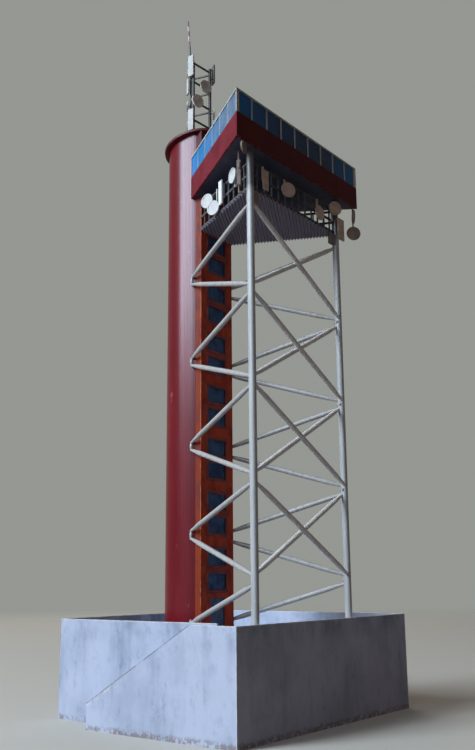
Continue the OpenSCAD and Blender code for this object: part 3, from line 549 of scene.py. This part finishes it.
rod = {
    "stripe": 2.45,
    "count": 5,
    "red": (0.25, 0.022, 0.026),
    "white": (0.58, 0.56, 0.56),
    "foot": (0.055, 0.047, 0.045),
}


def rodFinish():
    made = Finish("stripedRod", Roughness=0.5)
    top = edges("mast_rod")[1].z
    fromTop = (top - made.z) / rod["stripe"]
    white = fromTop.math("FLOORED_MODULO", 2.0) > 1.0
    painted = made.mix(rod["red"], rod["white"], white)
    chipped = made.mix(painted, rod["foot"], made.ramp(made.noise(0.5, 3.0, seed=4), 0.60, 0.68) * 0.6)
    made.feed(Base_Color=made.mix(chipped, rod["foot"], fromTop > rod["count"]))
    made.relief(made.noise(0.3, 2.0, seed=2), 0.02, 0.3)
    return made


cover(rodFinish(), "mast_rod")


cornerPost = {"wide": 1.1, "proud": 0.12, "tone": (0.58, 0.52, 0.46), "shade": (0.44, 0.38, 0.33)}


def makeCornerPosts():  # the folded card strip over each front corner of the cabin's windows
    low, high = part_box("cabin_front_glass")
    wide, proud = cornerPost["wide"] * millimetre, cornerPost["proud"] * millimetre
    built = bmesh.new()
    for side, name in ((-1, "cabin_left_glass"), (1, "cabin_right_glass")):
        flankLow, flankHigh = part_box(name)
        corner = Vector((flankLow.x if side < 0 else flankHigh.x, low.y, 0))
        run = Vector((-side * (flankHigh.x - flankLow.x), flankHigh.y - flankLow.y, 0)).normalized()
        across = Vector((-side, 0, 0))
        onFront, onFlank = corner + across * wide, corner + run * wide
        outFront = Vector((0, -proud, 0))
        outFlank = Vector((side * run.y, -abs(run.x), 0)).normalized() * proud
        outline = [onFront + outFront, corner + outFront + outFlank, onFlank + outFlank,
                   onFlank - outFlank, corner - outFront - outFlank, onFront - outFront]
        rings = [[built.verts.new((spot.x, spot.y, z)) for spot in outline] for z in (low.z, high.z)]
        built.faces.new(rings[0])
        built.faces.new(rings[1])
        for index in range(len(outline)):
            following = (index + 1) % len(outline)
            built.faces.new((rings[0][index], rings[0][following], rings[1][following], rings[1][index]))
    bmesh.ops.recalc_face_normals(built, faces=built.faces)
    meshData = bpy.data.meshes.new("cabinCornerPosts")
    built.to_mesh(meshData)
    built.free()
    finish = cardFinish("cornerCard", cornerPost["tone"], cornerPost["shade"], 2.0, 0.6, 8.0)
    meshData.materials.append(finish.material)
    piece = addObject("cabinCornerPosts", meshData)
    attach(piece, "root")


def islands(name):  # the box of each separate solid of a node, from a merged copy of its mesh
    copy = bmesh.new()
    copy.from_mesh(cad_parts[name].data)
    bmesh.ops.remove_doubles(copy, verts=copy.verts, dist=1e-7)
    left, found = set(copy.verts), []
    while left:
        front = [left.pop()]
        group = list(front)
        while front:
            for edge in front.pop().link_edges:
                for vert in edge.verts:
                    if vert in left:
                        left.remove(vert)
                        front.append(vert)
                        group.append(vert)
        spots = [vert.co.copy() for vert in group]
        found.append((Vector(map(min, zip(*spots))), Vector(map(max, zip(*spots)))))
    copy.free()
    return sorted(found, key=lambda pair: pair[0].z)


class Tree:  # one geometry node tree, with named inputs for its sizes
    def __init__(self, name, sizes):
        self.tree = bpy.data.node_groups.new(name, "GeometryNodeTree")
        face = self.tree.interface
        face.new_socket("Geometry", in_out="INPUT", socket_type="NodeSocketGeometry")
        self.keys = {}
        for label, value in sizes.items():
            kind = "NodeSocketInt" if isinstance(value, int) else "NodeSocketFloat"
            socket = face.new_socket(label, in_out="INPUT", socket_type=kind)
            self.keys[label] = socket.identifier
        face.new_socket("Geometry", in_out="OUTPUT", socket_type="NodeSocketGeometry")
        self.sizes = sizes
        self.start = self.tree.nodes.new("NodeGroupInput")
        self.end = self.tree.nodes.new("NodeGroupOutput")

    def size(self, label):
        return Signal(self.tree, self.start.outputs[label])

    def add(self, kind, settings=None, sockets=None, out=0):
        return addNode(self.tree, kind, settings, sockets, out)

    def bake(self, name, spots, shape, finish):
        real = self.add("GeometryNodeRealizeInstances", None, {0: shape})
        made = self.add("GeometryNodeSetMaterial", None, {"Geometry": real, "Material": finish.material})
        self.tree.links.new(made.socket, self.end.inputs[0])
        points = bpy.data.meshes.new(name + "Spots")
        points.from_pydata([tuple(spot) for spot in spots], [], [])
        carrier = addObject(name + "Carrier", points)
        modifier = carrier.modifiers.new(name, "NODES")
        modifier.node_group = self.tree
        for label, value in self.sizes.items():
            modifier[self.keys[label]] = value
        depsgraph = bpy.context.evaluated_depsgraph_get()
        meshData = bpy.data.meshes.new_from_object(carrier.evaluated_get(depsgraph))
        piece = addObject(name, meshData)
        carrier.modifiers.remove(modifier)
        bpy.data.objects.remove(carrier)
        return piece


surround = {"width": 1.3, "proud": 0.12, "lap": 0.6}


def makeSurrounds():  # the dark printed frame of each stair window, on the front of the strip
    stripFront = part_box("window_strip")[0].y
    windows = islands("stair_windows")
    size = windows[0][1] - windows[0][0]
    lap = 2 * surround["lap"] * millimetre
    bar = surround["width"] * millimetre
    spots = [((low.x + high.x) / 2, stripFront, (low.z + high.z) / 2) for low, high in windows]
    tree = Tree("windowSurround", {"Width": size.x - lap + bar, "Height": size.z - lap + bar, "Bar": bar,
                                   "Proud": 2 * surround["proud"] * millimetre})
    outline = tree.add("GeometryNodeCurvePrimitiveQuadrilateral", {"mode": "RECTANGLE"},
                       {0: tree.size("Width"), 1: tree.size("Height")})
    section = tree.add("GeometryNodeCurvePrimitiveQuadrilateral", {"mode": "RECTANGLE"},
                       {0: tree.size("Bar"), 1: tree.size("Proud")})
    ring = tree.add("GeometryNodeCurveToMesh", None, {"Curve": outline, "Profile Curve": section})
    upright = tree.add("GeometryNodeTransform", None, {"Geometry": ring, "Rotation": (math.pi / 2, 0.0, 0.0)})
    points = tree.add("GeometryNodeMeshToPoints", None, {"Mesh": Signal(tree.tree, tree.start.outputs[0])})
    placed = tree.add("GeometryNodeInstanceOnPoints", None, {"Points": points, "Instance": upright})
    finish = cardFinish("windowSurroundPrint", panes["frame"], panes["frameDark"], 2.4, 0.62, 6.0)
    piece = tree.bake("stairWindowSurrounds", spots, placed, finish)
    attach(piece, "root")


glue = {
    "radius": 0.62,
    "tip": 0.55,
    "tipHeight": 2.6,
    "seed": 7,
    "gap": 5.0,
    "reach": 1.35,
    "colour": (0.42, 0.42, 0.42),
    "dark": (0.25, 0.24, 0.23),
}


def meetings(name, near):  # the middle of each group of a node's points that pass a test, from the foot up
    spots = sorted([vert.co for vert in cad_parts[name].data.vertices if near(vert.co)], key=lambda spot: spot.z)
    groups = []
    for spot in spots:
        if not groups or spot.z - groups[-1][-1].z > glue["gap"] * millimetre:
            groups.append([])
        groups[-1].append(spot)
    return [sum(group, Vector()) / len(group) for group in groups]


def makeGlue():  # a bead of glue where each brace meets a leg, a long one where two meet on the shaft
    film = Finish("glue", Coat_Weight=0.2)
    cloud = film.noise(0.6, 3.0, seed=3)
    film.feed(Base_Color=film.mix(glue["colour"], glue["dark"], film.ramp(cloud, 0.4, 0.7)),
              Roughness=film.ramp(cloud, 0.3, 0.7, 0.36, 0.55))
    film.relief(cloud, 0.04, 0.4)
    onLegs, onShaft = [], []
    for side in ("left", "right"):
        low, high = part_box(side + "_leg")
        leg, reach = (low + high) / 2, (high.x - low.x) / 2
        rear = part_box(side + "_bracing")[1].y - reach
        for name in ("front_bracing", side + "_bracing"):
            onLegs += meetings(name, lambda spot: math.hypot(spot.x - leg.x, spot.y - leg.y) < reach * glue["reach"])
        onShaft += meetings(side + "_bracing", lambda spot: spot.y > rear)
    for name, spots, radius, tall in (("legBeads", onLegs, glue["radius"], 1.0),
                                      ("braceTips", onShaft, glue["tip"], glue["tipHeight"])):
        tree = Tree(name, {"Radius": radius * millimetre, "Tall": tall, "Seed": glue["seed"]})
        bead = tree.add("GeometryNodeMeshIcoSphere", None, {"Radius": tree.size("Radius"), "Subdivisions": 3})
        swell = tree.add("FunctionNodeRandomValue", {"data_type": "FLOAT_VECTOR"},
                         {"Min": (0.85, 0.85, 0.9), "Max": (1.15, 1.15, 1.3), "Seed": tree.size("Seed")})
        stretch = tree.add("ShaderNodeCombineXYZ", None, {0: 1.0, 1: 1.0, 2: tree.size("Tall")})
        size = tree.add("ShaderNodeVectorMath", {"operation": "MULTIPLY"}, {0: swell, 1: stretch})
        points = tree.add("GeometryNodeMeshToPoints", None, {"Mesh": Signal(tree.tree, tree.start.outputs[0])})
        placed = tree.add("GeometryNodeInstanceOnPoints", None, {"Points": points, "Instance": bead, "Scale": size})
        smooth = tree.add("GeometryNodeSetShadeSmooth", None, {"Geometry": placed})
        piece = tree.bake(name, spots, smooth, film)
        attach(piece, "root")
        print(name, "on", len(spots), "spots")


makeCornerPosts()
makeSurrounds()
makeGlue()
print("surrounds and glue beads made")


studio = {
    "floor": (0.60, 0.58, 0.53),
    "floorBounce": (0.18, 0.136, 0.112),
    "floorFade": (480.0, 1250.0),
    "floorSize": 3.0,
    "world": 0.10,
    "worldTint": (1.0, 0.74, 0.62),
    "backdrop": (0.300, 0.312, 0.290),
    "keyWatts": 26.5,
    "keyTint": (0.80, 0.91, 1.0),
    "keySize": (0.51, 1.01),
    "keyFrom": (-1.19, 0.46, 0.81),
    "cardWatts": 42.0,
    "cardTint": (0.66, 0.82, 1.0),
    "cardSize": (1.02, 0.52),
    "cardFrom": (-0.93, 0.04, 0.66),
    "rearWatts": 3.0,
    "rearTint": (1.0, 0.93, 0.86),
    "rearSize": (0.7, 0.7),
    "rearFrom": (0.75, 0.85, 0.60),
}


def seenRays(tree):  # camera, glossy and transmission rays, which see the backdrop
    path = tree.nodes.new("ShaderNodeLightPath")
    rays = [Signal(tree, path.outputs[kind]) for kind in ("Is Camera Ray", "Is Glossy Ray", "Is Transmission Ray")]
    return rays[0].math("MAXIMUM", rays[1].math("MAXIMUM", rays[2]))


def makeStage():
    half = studio["floorSize"] / 2
    meshData = bpy.data.meshes.new("floor")
    corners = [(-half, -half, 0), (half, -half, 0), (half, half, 0), (-half, half, 0)]
    meshData.from_pydata(corners, [], [(0, 1, 2, 3)])
    floor = addObject("floor", meshData)
    finish = Finish("paleFloor", Roughness=0.9)
    seen = finish.mix(studio["floor"], tuple(c * 0.96 for c in studio["floor"]), finish.noise(60, 3.0))
    away = finish.add("ShaderNodeVectorMath", {"operation": "LENGTH"}, {"Vector": finish.spot}, out="Value")
    finish.feed(Base_Color=finish.mix(studio["floorBounce"], seen, seenRays(finish.tree)),
                Alpha=finish.ramp(away, *studio["floorFade"], 1, 0))
    meshData.materials.append(finish.material)


def makeWorld():
    world = bpy.data.worlds.new("studio")
    bpy.context.scene.world = world
    world.use_nodes = True
    tree = world.node_tree
    lit = tree.nodes["Background"]
    plug(tree, lit.inputs["Color"], studio["worldTint"])
    lit.inputs["Strength"].default_value = studio["world"]
    seen = tree.nodes.new("ShaderNodeBackground")
    plug(tree, seen.inputs["Color"], studio["backdrop"])
    choose = tree.nodes.new("ShaderNodeMixShader")
    plug(tree, choose.inputs[0], seenRays(tree))
    tree.links.new(lit.outputs[0], choose.inputs[1])
    tree.links.new(seen.outputs[0], choose.inputs[2])
    tree.links.new(choose.outputs[0], tree.nodes["World Output"].inputs[0])


def makeLamp(name, target):  # a soft lamp, with its place, size, power and tint from the studio's values
    data = bpy.data.lights.new(name, "AREA")
    data.shape = "RECTANGLE"
    data.size, data.size_y = studio[name + "Size"]
    data.energy = studio[name + "Watts"]
    data.color = studio[name + "Tint"]
    lamp = addObject(name, data)
    lamp.location = studio[name + "From"]
    lamp.rotation_euler = (target - lamp.location).to_track_quat("-Z", "Y").to_euler()
    return lamp


lens = {"place": (-0.2664, -0.2130, 0.0492), "yaw": 51.93, "pitch": 13.08, "roll": -0.47, "focal": 41.9}


def makeCamera():
    data = bpy.data.cameras.new("camera")
    data.sensor_width = 36
    data.lens = lens["focal"]
    data.clip_start = 0.01
    camera = addObject("camera", data)
    turn = (Matrix.Rotation(-math.radians(lens["yaw"]), 3, "Z")
            @ Matrix.Rotation(math.pi / 2 + math.radians(lens["pitch"]), 3, "X")
            @ Matrix.Rotation(math.radians(lens["roll"]), 3, "Z"))
    camera.location = lens["place"]
    camera.rotation_euler = turn.to_euler()
    bpy.context.scene.camera = camera


makeStage()
makeWorld()
aim = Vector((0, 0, (cadBox[0].z + cadBox[1].z) / 2))
makeLamp("key", aim).visible_glossy = False  # the reflector card gives the one broad gloss
makeLamp("card", aim).visible_diffuse = False  # a reflector that only gloss sees
makeLamp("rear", aim).visible_glossy = False  # no bright outline on the shaft
makeCamera()
bpy.context.scene.view_settings.view_transform = "Standard"
print("studio ready")
